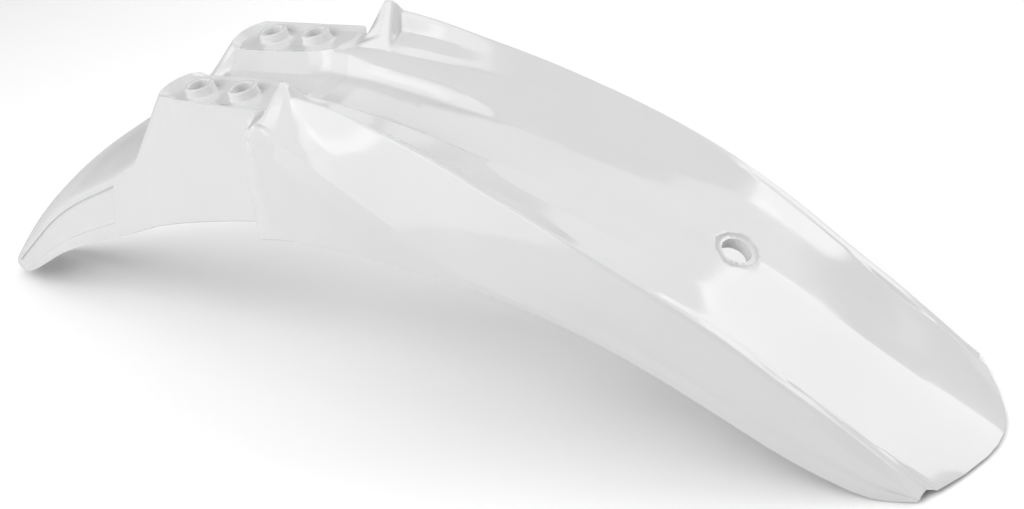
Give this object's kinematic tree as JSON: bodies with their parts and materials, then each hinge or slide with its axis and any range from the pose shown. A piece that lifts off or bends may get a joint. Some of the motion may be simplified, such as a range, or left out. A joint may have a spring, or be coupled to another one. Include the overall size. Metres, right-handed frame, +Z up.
{
  "type": "motorcycle front fender",
  "caption": "Slim one-piece moulded front fender for an off-road motorcycle, with two bolting pads, raised shoulders, a ducked blade with a sleeved hole, and a tapering tail.",
  "frame": {"origin": "on the centre plane, midway between the four mounting collars, at the height of their top faces", "axes": "+X forward to the nose, +Y to the side, +Z up, square to the mounting pads"},
  "size_m": [0.685, 0.1374, 0.1913],
  "materials": {
    "white_plastic": "glossy white moulded polypropylene"
  },
  "bodies": {
    "root": {"fender": "white_plastic"}
  },
  "joints": []
}
